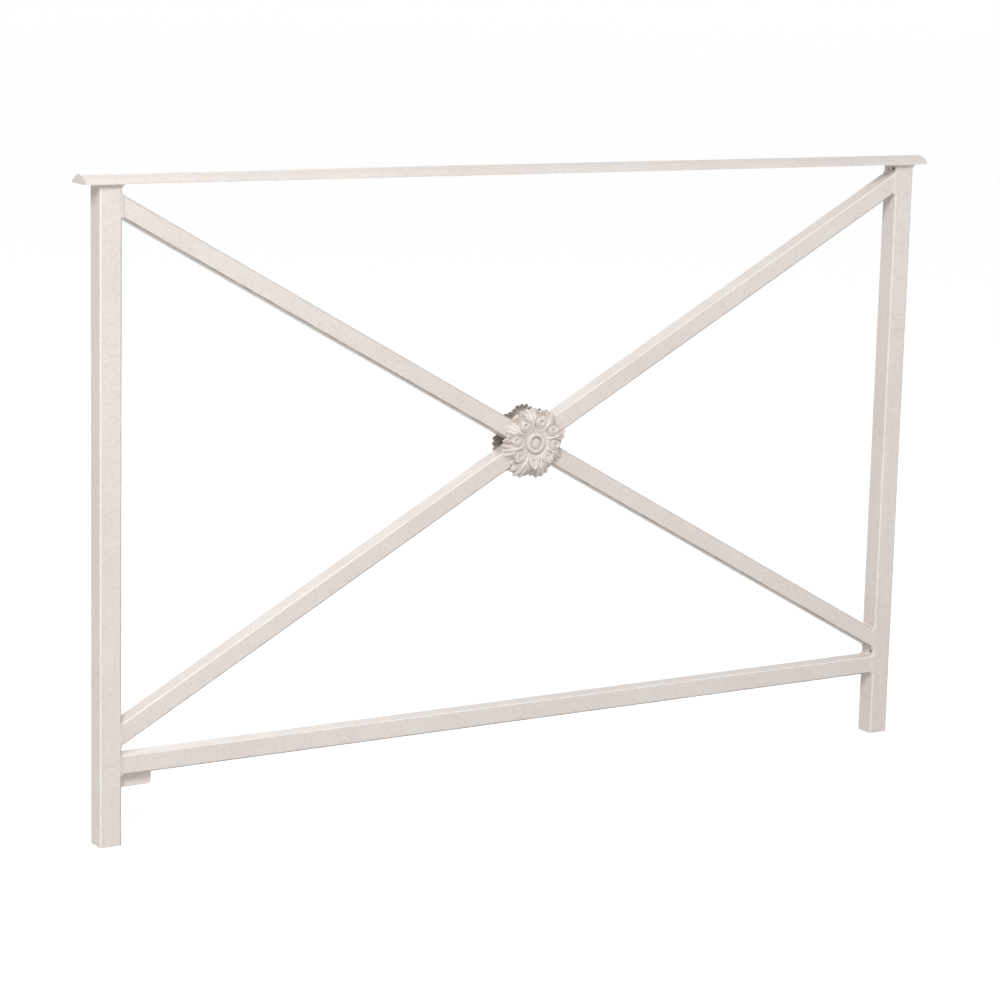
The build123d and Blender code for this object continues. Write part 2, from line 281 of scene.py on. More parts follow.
def corner_group():
    """Masks for a painted highlight and painted shade on the rounded corners of a tube that lies
    across Y, on its lit and other side.
    """
    group, given, out = new_group(
        "Tube corners",
        (("Vector", "NodeSocketVector", None), ("Amount", "NodeSocketFloat", 0.7)),
        (("Lit", "NodeSocketFloat"), ("Painted shade", "NodeSocketFloat")))
    surface = group.nodes.new("ShaderNodeNewGeometry")
    facing = group.nodes.new("ShaderNodeSeparateXYZ")
    group.links.new(surface.outputs["Normal"], facing.inputs["Vector"])
    # 0 on the flats, 1 halfway round a corner
    front = maths(group, "MULTIPLY", facing.outputs["Y"], facing.outputs["Y"])
    turned = maths(group, "MULTIPLY", front, maths(group, "SUBTRACT", 1.0, front))
    turned = maths(group, "MULTIPLY", turned, 4.0)
    broken = noise(group, given.outputs["Vector"], 45.0, 3.0, 0.6)
    broken = remap(group, broken, 0.34, 0.6, 0.45, 1.0)
    amount = maths(group, "MULTIPLY", broken, given.outputs["Amount"])
    # Above 0 where the corner faces up or left, towards the key lamp
    lean = maths(group, "MULTIPLY", facing.outputs["X"], 1.2)
    lean = maths(group, "SUBTRACT", facing.outputs["Z"], lean)
    # Painted highlight along the corners that face the key lamp
    lit = maths(group, "MULTIPLY", remap(group, turned, 0.25, 0.8),
                remap(group, lean, 0.35, 0.70))
    # Painted shade along the corners that face away from the key lamp, right or down
    painted_shade = maths(group, "MULTIPLY", remap(group, turned, 0.03, 0.3),
                  remap(group, lean, 0.30, -0.05))
    group.links.new(maths(group, "MULTIPLY", lit, amount), out.inputs["Lit"])
    group.links.new(maths(group, "MULTIPLY", painted_shade, amount), out.inputs["Painted shade"])
    return group


def placed(tree, group, **values):
    """A group node with these input values. An underscore stands for a space in a label."""
    node = tree.nodes.new("ShaderNodeGroup")
    node.node_tree = group
    for label, value in values.items():
        node.inputs[label.replace("_", " ")].default_value = value
    return node


def painted(name, paint, clouds=0.8, cloud_scale=14.0, gloss=0.42, peel_scale=420.0,
            peel_depth=0.00012, edge_radius=0.0015, edge_amount=0.3, corners=0.0, under_shade=0.3,
            dust_and_shade=0.0):
    """Satin paint over metal, with painted shade on undersides and dust and painted shade in the
    hollows of a casting.
    """
    edge_polish = 0.08      # how much less rough rubbed edges are
    groups = bpy.data.node_groups
    material = bpy.data.materials.new(name)
    material.use_nodes = True
    tree = material.node_tree
    shader = tree.nodes["Principled BSDF"]
    place = tree.nodes.new("ShaderNodeTexCoord").outputs["Object"]
    colour = placed(tree, groups["Mottled paint"], Base=(*paint.base, 1), Warm=(*paint.warm, 1),
                    Pale=(*paint.pale, 1), Cloud_Scale=cloud_scale, Cloud_Amount=clouds,
                    Gloss=gloss)
    coat = placed(tree, groups["Orange peel"], Peel_Scale=peel_scale)
    edges = placed(tree, groups["Rubbed edges and painted highlights"], Radius=edge_radius, Amount=edge_amount)
    for node in (colour, coat, edges):
        tree.links.new(place, node.inputs["Vector"])
    surface = tree.nodes.new("ShaderNodeNewGeometry")
    facing = tree.nodes.new("ShaderNodeSeparateXYZ")
    tree.links.new(surface.outputs["Normal"], facing.inputs["Vector"])
    # Painted shade: faces that point down are darkened towards the recess colour
    under = remap(tree, facing.outputs["Z"], -0.25, -0.75, 0.0, under_shade)
    shade = blend_colour(tree, under, colour.outputs["Color"], paint.recess)
    # Dust and painted shade in the casting's hollows, from the hollow attribute
    if dust_and_shade:
        hollow = tree.nodes.new("ShaderNodeAttribute")
        hollow.attribute_name = "hollow"
        patchy = remap(tree, noise(tree, place, 180.0, 3.0, 0.6), 0.3, 0.7, 0.65, 1.0)
        amount = maths(tree, "MULTIPLY", hollow.outputs["Fac"], patchy)
        amount = maths(tree, "MULTIPLY", amount, dust_and_shade)
        shade = blend_colour(tree, amount, shade, paint.recess)
    # Rubbed paint and painted highlight along outside edges
    shade = blend_colour(tree, edges.outputs["Mask"], shade, paint.rubbed_and_lit)
    # Painted highlight and painted shade along the tubes' corners
    if corners:
        lines = placed(tree, groups["Tube corners"], Amount=corners)
        tree.links.new(place, lines.inputs["Vector"])
        shade = blend_colour(tree, lines.outputs["Lit"], shade, paint.rubbed_and_lit)
        shade = blend_colour(tree, lines.outputs["Painted shade"], shade, paint.edge)
    tree.links.new(shade, shader.inputs["Base Color"])
    polish = maths(tree, "MULTIPLY", edges.outputs["Mask"], edge_polish)
    rough = maths(tree, "SUBTRACT", colour.outputs["Roughness"], polish)
    tree.links.new(rough, shader.inputs["Roughness"])
    bump = tree.nodes.new("ShaderNodeBump")
    bump.inputs["Distance"].default_value = peel_depth
    bump.inputs["Strength"].default_value = 1.0
    tree.links.new(coat.outputs["Height"], bump.inputs["Height"])
    tree.links.new(bump.outputs["Normal"], shader.inputs["Normal"])
    shader.inputs["Metallic"].default_value = 0.0
    shader.inputs["Coat Weight"].default_value = 0.12
    shader.inputs["Coat Roughness"].default_value = 0.28
    return material


# Modelling helpers

def only(obj):
    """Leaves this object alone selected and active."""
    bpy.ops.object.select_all(action="DESELECT")
    obj.select_set(True)
    bpy.context.view_layer.objects.active = obj


def finish_piece(obj, name, material, node):
    """Name a piece, paint it, and put it in the place of a CAD node."""
    obj.name = name
    obj.data.name = name
    obj.data.materials.clear()
    obj.data.materials.append(material)
    only(obj)
    bpy.ops.object.transform_apply(location=True, rotation=True, scale=True)
    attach(obj, "root")
    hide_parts(node)
    obj.select_set(False)


def corners_of(node):
    """Lowest and highest corner of a CAD node."""
    low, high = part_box(node)
    return Vector(low), Vector(high)


def smooth(value, low, high):
    """0 below low, 1 above high, eased in between."""
    t = np.clip((value - low) / (high - low), 0.0, 1.0)
    return t * t * (3 - 2 * t)


def hump(value, middle, width):
    """1 at the middle, easing off to 0 on both sides."""
    return np.exp(-((value - middle) / width) ** 2)


def eased_line(points, count):
    """Evenly spaced points on a smooth line through these."""
    points = np.array(points, float)
    padded = np.vstack((2 * points[0] - points[1], points, 2 * points[-1] - points[-2]))
    fine = []
    for a, b, c, d in zip(padded, padded[1:], padded[2:], padded[3:]):
        for t in np.linspace(0, 1, 24, endpoint=False):
            fine.append(0.5 * (2 * b + (c - a) * t + (2 * a - 5 * b + 4 * c - d) * t ** 2
                               + (3 * b - a - 3 * c + d) * t ** 3))
    fine.append(points[-1])
    fine = np.array(fine)
    run = np.concatenate(([0], np.cumsum(np.hypot(*np.diff(fine, axis=0).T))))
    along = np.linspace(0, run[-1], count)
    return np.column_stack([np.interp(along, run, column) for column in fine.T])


# Operators

class BARRIER_OT_finishes(Operator):
    """Make the paints and put them on the tubes, the handrail and the plate"""
    bl_idname = "barrier.finishes"
    bl_label = "Painted steel"

    def execute(self, context):
        paint = context.scene.barrier_paint
        mottled_paint_group()
        orange_peel_group()
        rubbed_and_lit_edge_group()
        corner_group()
        # The tubes get a painted highlight and painted shade along their corners
        steel = painted("Painted steel", paint, corners=0.75)
        # The handrail gets more painted shade on its undersides
        rail = painted("Painted handrail", paint, edge_amount=0.4, under_shade=0.6)
        # The casting gets dust and painted shade in its hollows
        casting = painted("Painted casting", paint, clouds=0.5, cloud_scale=40.0,
                          peel_scale=700.0, peel_depth=0.0001, edge_radius=0.0008,
                          edge_amount=0.4, dust_and_shade=0.95)
        painted("Painted weld", paint, clouds=0.35, cloud_scale=60.0, gloss=0.36,
                peel_scale=900.0, peel_depth=0.00008, edge_radius=0.0006, edge_amount=0.25)
        for name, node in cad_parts.items():
            if "rosette" in name or "rivet" in name:
                finish = casting
            else:
                finish = rail if name == "handrail" else steel
            node.data.materials.clear()
            node.data.materials.append(finish)
        return {"FINISHED"}


class BARRIER_OT_rosettes(Operator):
    """Model the cast leaf rosettes on both sides of the crossing"""
    bl_idname = "barrier.rosettes"
    bl_label = "Leaf rosettes"

    leaves = 8
    steps = 92                      # round one leaf
    leaf_angle = 360.0 / leaves     # from one leaf to the next, in degrees
    half_leaf = leaf_angle / 2
    lobe_angle = 8.6                # from one lobe to the next
    side_lobes = 2                  # on each side of a leaf's middle lobe
    rear_turn = radians(9)          # the rear casting is turned back by this
    # Radius and height in front of the bars, in millimetres. The dish, ring, valley and crown:
    crown = ((5.2, 7.4), (7.4, 7.4), (9.3, 7.4), (9.9, 7.8), (10.1, 9.3), (10.4, 11.0),
             (11.1, 11.9), (12.6, 12.2), (14.4, 12.1), (15.7, 11.6), (16.4, 10.6), (16.8, 8.8),
             (17.2, 7.7), (18.4, 7.4), (20.5, 7.9), (24.5, 9.2), (28.5, 11.0), (32.5, 11.9),
             (37.0, 12.0), (41.0, 11.3), (45.0, 9.9))
    # then between the bars, over the shoulder and down to tips a little behind the bars' faces,
    droop = ((45.0, 9.9), (49.5, 8.5), (53.5, 6.8), (57.0, 4.8), (59.6, 2.6), (61.4, 0.0),
             (62.2, -2.6))
    # or over a bar, where the tips lie just clear of its face,
    perch = ((45.0, 9.9), (49.0, 7.7), (52.5, 5.3), (55.5, 3.5), (58.0, 2.4), (60.0, 1.7),
             (61.5, 1.2), (62.0, 0.6), (62.2, 0.0), (62.2, -0.5))
    # and back behind the leaves to the hub that stands on the bars.
    back = ((61.6, -3.0), (60.8, -1.2), (58.9, 0.9), (56.3, 2.8), (53.0, 4.5), (49.0, 5.8),
            (44.5, 6.6), (39.0, 7.1), (33.0, 7.2), (26.0, 6.4), (22.0, 5.0), (21.0, 2.5),
            (20.8, 0.0), (12.0, 0.0), (5.2, 0.0), (5.2, 4.0), (5.2, 7.4))
    # No two leaves are alike. For each leaf: its share of the full reach and of the full relief.
    # For the eye before it: share of the reach, degrees turned, and the millimetres that it and
    # the notch beyond it are moved out.
    carved = {
        "front": ((1.05, 1.0, 1.0, 3.6, 2.4, 4.0), (0.95, 1.0, 1.0, -3.9, 2.4, 2.0),
                  (0.89, 0.8, 1.0, -4.2, 0.2, -1.0), (0.88, 0.4, 0.98, 1.7, 1.7, 5.0),
                  (0.92, 0.8, 1.0, -0.1, 3.8, -1.0), (1.02, 1.1, 1.0, -2.4, 1.9, 0.0),
                  (0.98, 1.1, 1.0, 3.2, -4.3, 0.0), (1.01, 1.1, 1.0, 8.3, -2.4, 0.0)),
        "rear": ((0.95, 1.0, 1.0, 1.0, 0.5, 0.0), (0.94, 1.0, 1.0, -1.5, 0.0, 1.0),
                 (0.95, 1.0, 1.0, 0.5, 1.0, 0.0), (0.93, 1.0, 1.0, 1.5, -0.5, 1.0),
                 (0.95, 1.0, 1.0, -1.0, 0.0, 0.0), (0.94, 1.0, 1.0, 0.5, 0.5, 1.0),
                 (0.93, 1.0, 1.0, -1.0, -0.5, 0.0), (0.95, 1.0, 1.0, 0.5, 0.0, 0.0)),
    }

    def execute(self, context):
        sizes = context.scene.barrier_rosette
        casting = bpy.data.materials["Painted casting"]
        for side, turn in (("front", sizes.turn), ("rear", sizes.turn - self.rear_turn)):
            piece = self.cast(sizes, turn, self.carved[side])
            if side == "rear":
                bpy.ops.object.mode_set(mode="EDIT")
                bpy.ops.mesh.select_all(action="SELECT")
                bpy.ops.transform.resize(value=(1, -1, 1), center_override=(0, 0, 0))
                bpy.ops.mesh.normals_make_consistent(inside=False)
                bpy.ops.object.mode_set(mode="OBJECT")
            self.saddle(piece)
            only(piece)
            bpy.ops.object.shade_smooth_by_angle(angle=radians(50))
            finish_piece(piece, f"leaf_rosette_{side}", casting,
                         f"{side}_rosette")
        return {"FINISHED"}

    def outline(self, angle, notch_out, sizes):
        """Radius of the leaf edge at an angle from the leaf's middle, in degrees."""
        reach, root, notch = sizes.reach / MM, sizes.root / MM + notch_out, sizes.notch / MM
        away = np.abs(angle)
        lobe = np.clip(np.round(away / self.lobe_angle), 0, self.side_lobes)
        tip = reach - 1.4 * lobe ** 2
        off = (away - self.lobe_angle * lobe) / (self.lobe_angle / 2)
        edge = tip - notch * np.abs(off)
        last = self.lobe_angle * self.side_lobes
        down = np.clip((away - last) / (self.half_leaf - last), 0, 1) ** 1.1
        return np.where(away > last, tip - (tip - root) * down, edge)

    def relief(self, radius, angle, bold, eye_out, sizes):
        """Carving off the smooth profile, the part of it that the back follows, and the hollows.

        All in millimetres and degrees, apart from the hollows, which run from 0 to 1.
        """
        away = np.abs(angle)
        # Lobes fan out of the narrow stem between two eyes, with a groove between each two
        fan = 0.40 + 0.60 * smooth(radius, 33.0, 47.0)
        lobe = angle / fan / self.lobe_angle
        nearest = np.clip(np.round(lobe), -self.side_lobes, self.side_lobes)
        off = np.clip((lobe - nearest) * 2, -1, 1)
        depth = bold * (0.5 * smooth(radius, 25.0, 31.0) + 0.7 * smooth(radius, 36.0, 50.0))
        groove, crease = hump(np.abs(off), 1, 0.26), hump(off, 0, 0.20)
        carve = depth * (0.14 * (1 - off ** 2) - 0.80 * groove - 0.55 * crease)
        # The blade falls away on both sides of its stem
        stem = smooth(radius, 20.0, 27.0) * (1 - 0.8 * smooth(radius, 38.0, 54.0))
        carve += 1.9 * stem * hump(angle, 0, 3.2)
        fall = 1.6 * smooth(away, 5.0, 21.0) * smooth(radius, 40.0, 52.0)
        carve -= fall
        # Each eye lies in a drop-shaped fold, below 0 inside, that ends in a proud lip over the
        # notch between two leaves
        out = radius - sizes.eye_circle / MM - eye_out
        side = np.radians(self.half_leaf - away) * radius
        from_eye = np.hypot(out, side)
        girth, drop = 8.1, 13.0
        taper = girth * (1 - np.clip(out / drop, 0, 1) ** 1.7)
        fold = np.where(out < 0, from_eye - girth, side - taper)
        inside = 1 - smooth(fold, -1.9, 0.1)
        ended = 1 - smooth(out, drop - 2.6, drop + 1.4)
        crest = hump(fold, 0, 1.05) * ended
        lip = 2.6 * smooth(out, 2.0, 9.0) * (1 - smooth(fold, 0.3, 1.5)) * ended
        carve = carve * (1 - inside * ended) * (1 - 0.6 * crest)
        carve = carve + 1.0 * crest - 0.9 * inside * ended + lip
        moat = hump(fold, 2.0, 0.9) * smooth(radius, 24.0, 28.0) * ended
        carve -= 1.3 * moat
        # The eye has a rim with a flat top round its hollow
        hole = sizes.eye_width / MM / 2
        from_rim = np.maximum(np.abs(from_eye - hole - 1.6) - 0.45, 0)
        carve += 2.3 * hump(from_rim, 0, 0.95)
        carve -= 1.1 * (1 - smooth(from_eye, hole - 0.9, hole + 0.6))
        # Dust and painted shade sit in what is carved in, in the moat and on both sides of the
        # central ring
        hollow = np.clip(-carve / 1.0, 0, 1) * smooth(radius, 22.0, 27.0)
        hollow = np.maximum(hollow, 0.8 * moat)
        hollow *= smooth(from_eye, hole - 0.8, hole + 0.3)
        hollow = np.maximum(hollow, 0.9 * hump(radius, 17.6, 0.9))
        hollow = np.maximum(hollow, 0.9 * hump(radius, 9.9, 0.6))
        return carve, fall, hollow

    def cast(self, sizes, turned, carved):
        """One closed casting: its profile goes over the face, round the tips and back behind."""
        crown, droop, perch = (eased_line(line, count) for line, count in
                               ((self.crown, 70), (self.droop, 30), (self.perch, 30)))
        back = np.array(self.back)
        free = np.vstack((crown[:-1], droop, back))
        laid = np.vstack((crown[:-1], perch, back))
        rows, face_rows = len(free), len(crown) - 1 + len(droop)
        round_steps = self.leaves * self.steps
        bpy.ops.object.select_all(action="DESELECT")
        bpy.ops.mesh.primitive_grid_add(x_subdivisions=round_steps, y_subdivisions=rows - 1,
                                        size=1)
        piece = bpy.context.object
        mesh = piece.data
        flat = np.empty(len(mesh.vertices) * 3)
        mesh.vertices.foreach_get("co", flat)
        flat = flat.reshape(-1, 3)
        spoke = np.round((flat[:, 0] + 0.5) * round_steps) % round_steps
        row = np.round((flat[:, 1] + 0.5) * (rows - 1)).astype(int)
        turn = spoke / round_steps * 360.0
        leaf = np.floor((turn + self.half_leaf) / self.leaf_angle).astype(int) % self.leaves
        eye = np.round((turn + self.half_leaf) / self.leaf_angle).astype(int) % self.leaves
        off_middle = (turn + self.half_leaf) % self.leaf_angle - self.half_leaf
        leaf_share, bold, eye_share, eye_turn, eye_out, notch_out = np.array(carved).T
        # The turn of one eye eases into that of the next across the leaf between them
        middles = self.leaf_angle * np.arange(self.leaves)
        eyes = middles - self.half_leaf
        angle = np.radians(turn + np.interp(turn, eyes, eye_turn, period=360)) + turned
        # How far each point is from the line of the nearer bar decides which profile it follows
        slope = self.bar_slope()
        nearer = np.minimum(np.abs(np.sin(angle - slope)), np.abs(np.sin(angle + slope)))
        over = (1 - smooth(nearer * free[row][:, 0], 15.4, 18.6))[:, None]
        line = free[row] * (1 - over) + laid[row] * over
        after, before = np.minimum(row + 1, rows - 1), np.maximum(row - 1, 0)
        ahead = (free[after] - free[before]) * (1 - over) + (laid[after] - laid[before]) * over
        length = np.maximum(np.hypot(*ahead.T), 1e-9)
        normal = np.column_stack((-ahead[:, 1], ahead[:, 0])) / length[:, None]
        radius, height = line.T
        carve, fall, hollow = self.relief(free[row][:, 0], off_middle, bold[leaf], eye_out[eye],
                                          sizes)
        on_face = row < face_rows
        carve = np.where(on_face, carve, 0.0) * smooth(radius, 20.0, 24.0)
        carve *= 1 - 0.35 * smooth(np.where(on_face, row, 0), face_rows - 6, face_rows - 1)
        # The back of the casting gets a little dust and painted shade all over
        hollow = np.where(on_face, hollow, 0.1)
        # The leaf's outline has no effect at the hub and its full effect at the tips
        hub, reach = 36.0, sizes.reach / MM
        share = np.clip((radius - hub) / (reach - hub), 0, 1.02) ** 1.5
        longer = np.interp(turn, np.concatenate((middles, eyes)),
                           np.concatenate((leaf_share, eye_share)), period=360)
        edge = 1 - share * (1 - self.outline(off_middle, notch_out[eye], sizes) / reach)
        edge = edge * (1 + (longer - 1) * share)
        spread = (radius + normal[:, 0] * carve) * edge
        stand = height + normal[:, 1] * carve - np.where(on_face | (radius < 40), 0.0, fall)
        centre = self.crossing()
        low, high = corners_of("falling_diagonal")
        bar_front = (high.y - low.y) / 2
        placed_at = np.column_stack((centre.x + spread * np.cos(angle) * MM,
                                     -(bar_front + stand * MM),
                                     centre.z + spread * np.sin(angle) * MM))
        mesh.vertices.foreach_set("co", placed_at.ravel())
        # Mask for dust and painted shade, read by the casting's paint
        layer = mesh.attributes.new("hollow", "FLOAT", "POINT")
        layer.data.foreach_set("value", hollow)
        mesh.update()
        only(piece)
        bpy.ops.object.mode_set(mode="EDIT")
        bpy.ops.mesh.select_all(action="SELECT")
        bpy.ops.mesh.remove_doubles(threshold=0.000002)
        bpy.ops.mesh.vertices_smooth(factor=0.4, repeat=1)
        bpy.ops.mesh.normals_make_consistent(inside=False)
        bpy.ops.object.mode_set(mode="OBJECT")
        return piece

    @staticmethod
    def crossing():
        low, high = corners_of("falling_diagonal")
        return (low + high) / 2

    @staticmethod
    def bar_slope():
        """Angle of the rising bars, found from the falling one's box and its width."""
        low, high = corners_of("falling_diagonal")
        long, width, tall = high - low
        slope = atan2(tall, long)
        for _ in range(6):
            slope = atan2(tall - width / cos(slope), long)
        return slope

    def saddle(self, casting):
        """Cut the casting down over the two crossed bars."""
        length, bite = 0.16, 0.0001         # the casting bites into the bars by half of this
        centre = self.crossing()
        low, high = corners_of("falling_diagonal")
        width = high.y - low.y - bite
        slope = self.bar_slope()
        for lean in (slope, -slope):
            bpy.ops.object.select_all(action="DESELECT")
            bpy.ops.mesh.primitive_cube_add(size=1, location=centre, rotation=(0, lean, 0),
                                            scale=(length, width, width))
            bar = bpy.context.object
            only(bar)
            bpy.ops.object.transform_apply(location=True, rotation=True, scale=True)
            only(casting)
            cut = casting.modifiers.new("Saddle", "BOOLEAN")
            cut.operation = "DIFFERENCE"
            cut.solver = "MANIFOLD"
            cut.object = bar
            bpy.ops.object.modifier_apply(modifier=cut.name)
            bpy.data.objects.remove(bar)


class BARRIER_OT_rivet(Operator):
    """Model the rivet that holds the rosettes together, with a low head in each dish"""
    bl_idname = "barrier.rivet"
    bl_label = "Centre rivet"

    shank = 0.005       # radius
    tall = 0.002        # height of each head

    def execute(self, context):
        low, high = corners_of("centre_rivet")
        centre, half = (low + high) / 2, (high.y - low.y) / 2
        head = (high.x - low.x) / 2
        # Radius and further rise of each step of a head
        rings = ((head, 0.0), (head, 0.0007), (head - 0.0006, 0.0005), (head - 0.0018, 0.0004),
                 (head - 0.0035, 0.00025), (0.002, 0.00015))
        bpy.ops.object.select_all(action="DESELECT")
        bpy.ops.mesh.primitive_cylinder_add(vertices=72, radius=self.shank,
                                            depth=2 * (half - self.tall), location=centre,
                                            rotation=(radians(90), 0, 0))
        rivet = bpy.context.object
        only(rivet)
        bpy.ops.object.transform_apply(location=True, rotation=True, scale=True)
        for side in (-1, 1):
            bpy.ops.object.mode_set(mode="EDIT")
            bpy.ops.mesh.select_all(action="DESELECT")
            bpy.ops.object.mode_set(mode="OBJECT")
            for face in rivet.data.polygons:
                face.select = face.normal.y * side > 0.9
            bpy.ops.object.mode_set(mode="EDIT")
            bpy.context.tool_settings.mesh_select_mode = (False, False, True)
            radius = self.shank
            for wide, rise in rings:
                bpy.ops.mesh.extrude_region_move(
                    TRANSFORM_OT_translate={"value": (0, side * rise, 0)})
                bpy.ops.transform.resize(value=(wide / radius, 1, wide / radius),
                                         center_override=centre)
                radius = wide
            bpy.ops.object.mode_set(mode="OBJECT")
        bpy.ops.object.shade_smooth_by_angle(angle=radians(40))
        finish_piece(rivet, "centre_rivet_head", bpy.data.materials["Painted casting"],
                     "centre_rivet")
        return {"FINISHED"}


class BARRIER_OT_welds(Operator):
    """Model the weld beads round the ends of the bars and under the handrail"""
    bl_idname = "barrier.welds"
    bl_label = "Weld beads"

    steps = 264                 # round one bead
    corner = 0.003              # the tubes' outer corner radius
    side_leg = 0.0022           # leg of a bar's bead where it runs up the sides of the bar
    ripple_pitch = 2.1          # millimetres from one ripple to the next
    # Distance out from the bar and off the post, as shares of the bead's leg
    section = ((-0.16, -0.14), (0.45, -0.16), (1.02, -0.12), (1.05, 0.02), (0.80, 0.26),
               (0.55, 0.50), (0.30, 0.77), (0.06, 1.06), (-0.14, 1.0), (-0.16, 0.4))

    def execute(self, context):
        leg = context.scene.barrier_welds.bar_leg
        left_post, right_post = corners_of("left_post"), corners_of("right_post")
        post_half = (left_post[1].x - left_post[0].x) / 2
        rail = corners_of("bottom_rail")
        bar_half = (rail[1].y - rail[0].y) / 2
        slope = BARRIER_OT_rosettes.bar_slope()
        for node, side, angle in (("left_rail_weld", 1, 0.0), ("right_rail_weld", -1, 0.0),
                                  ("upper_left_weld", 1, -slope), ("lower_right_weld", -1, -slope),
                                  ("lower_left_weld", 1, slope), ("upper_right_weld", -1, slope)):
            # The bead's root is centred on the bar's end, where it meets the post's face
            low, high = corners_of(node)
            face = left_post[1].x if side > 0 else right_post[0].x
            root = Vector((face, 0, (low.z + high.z) / 2))
            self.bead(node, root, Vector((side, 0, side * tan(angle))), Vector((0, 1, 0)),
                      Vector((0, 0, 1)), (bar_half, bar_half / cos(angle)), leg, self.side_leg)
        leg = context.scene.barrier_welds.rail_leg
        for node in ("left_handrail_weld", "right_handrail_weld"):
            low, high = corners_of(node)
            top = Vector(((low.x + high.x) / 2, 0, high.z))
            self.bead(node, top, Vector((0, 0, -1)), Vector((1, 0, 0)), Vector((0, 1, 0)),
                      (post_half, post_half), leg, leg)
        return {"FINISHED"}

    def bead(self, node, root, off_face, across, upright, half, leg, side_leg):
        """A bead round a square bar that stands off a face along off_face."""
        rows, corner = len(self.section), self.corner
        bpy.ops.object.select_all(action="DESELECT")
        bpy.ops.mesh.primitive_torus_add(major_segments=self.steps, minor_segments=rows,
                                         major_radius=1.0, minor_radius=0.25,
                                         location=(0, 0, 0))
        piece = bpy.context.object
        mesh = piece.data
        flat = np.empty(len(mesh.vertices) * 3)
        mesh.vertices.foreach_get("co", flat)
        x, y, z = flat.reshape(-1, 3).T
        around = np.arctan2(y, x)
        turn = np.arctan2(z, np.hypot(x, y) - 1.0)
        spot = np.round(turn / (2 * pi) * rows).astype(int) % rows
        # Walk the rounded rectangle at an even pace
        corners = []
        for sx, sy, start in ((1, 1, 0), (-1, 1, 90), (-1, -1, 180), (1, -1, 270)):
            for step in range(9):
                bend = radians(start + step * 90 / 8)
                corners.append((sx * (half[0] - corner) + corner * cos(bend),
                                sy * (half[1] - corner) + corner * sin(bend),
                                cos(bend), sin(bend)))
        corners = np.array(corners + corners[:1])
        run = np.concatenate(([0], np.cumsum(np.hypot(*np.diff(corners[:, :2], axis=0).T))))
        share = (around / (2 * pi)) % 1.0
        px, py, nx, ny = (np.interp(share * run[-1], run, column) for column in corners.T)
        norm = np.hypot(nx, ny)
        nx, ny = nx / norm, ny / norm
        # Ripples lie across the bead, and its leg wanders a little
        count = max(24, round(run[-1] / MM / self.ripple_pitch))
        phase = (share * count + 0.35 * np.sin(2 * pi * share * 5 + root.z * 9)) % 1.0
        ripple = 1 - (2 * phase - 1) ** 2
        wander = (0.07 * np.sin(2 * pi * share * 3 + root.x * 5)
                  + 0.05 * np.sin(2 * pi * share * 7 + root.z * 11))
        shape = np.array(self.section)[spot]
        proud = np.where((spot >= 3) & (spot <= 7), 1.0, 0.0)
        swell = 1 + proud * (0.10 * ripple - 0.05 + wander)
        leg_here = side_leg + (leg - side_leg) * np.abs(ny) ** 1.5
        out = shape[:, 0] * leg_here * swell
        off = shape[:, 1] * leg * swell
        if side_leg != leg:
            # The bead follows the post's rounded corners down
            off = np.where(shape[:, 1] < 0.1, off - 0.0017 * np.abs(nx) ** 3, off)
        place = (np.array(root)[None, :] + np.outer(px + nx * out, across)
                 + np.outer(py + ny * out, upright) + np.outer(off, off_face))
        mesh.vertices.foreach_set("co", place.ravel())
        mesh.update()
        only(piece)
        bpy.ops.object.mode_set(mode="EDIT")
        bpy.ops.mesh.select_all(action="SELECT")
        bpy.ops.mesh.normals_make_consistent(inside=False)
        bpy.ops.object.mode_set(mode="OBJECT")
        bpy.ops.object.shade_smooth_by_angle(angle=radians(60))
        finish_piece(piece, node.replace("_weld", "_bead"), bpy.data.materials["Painted weld"],
                     node)


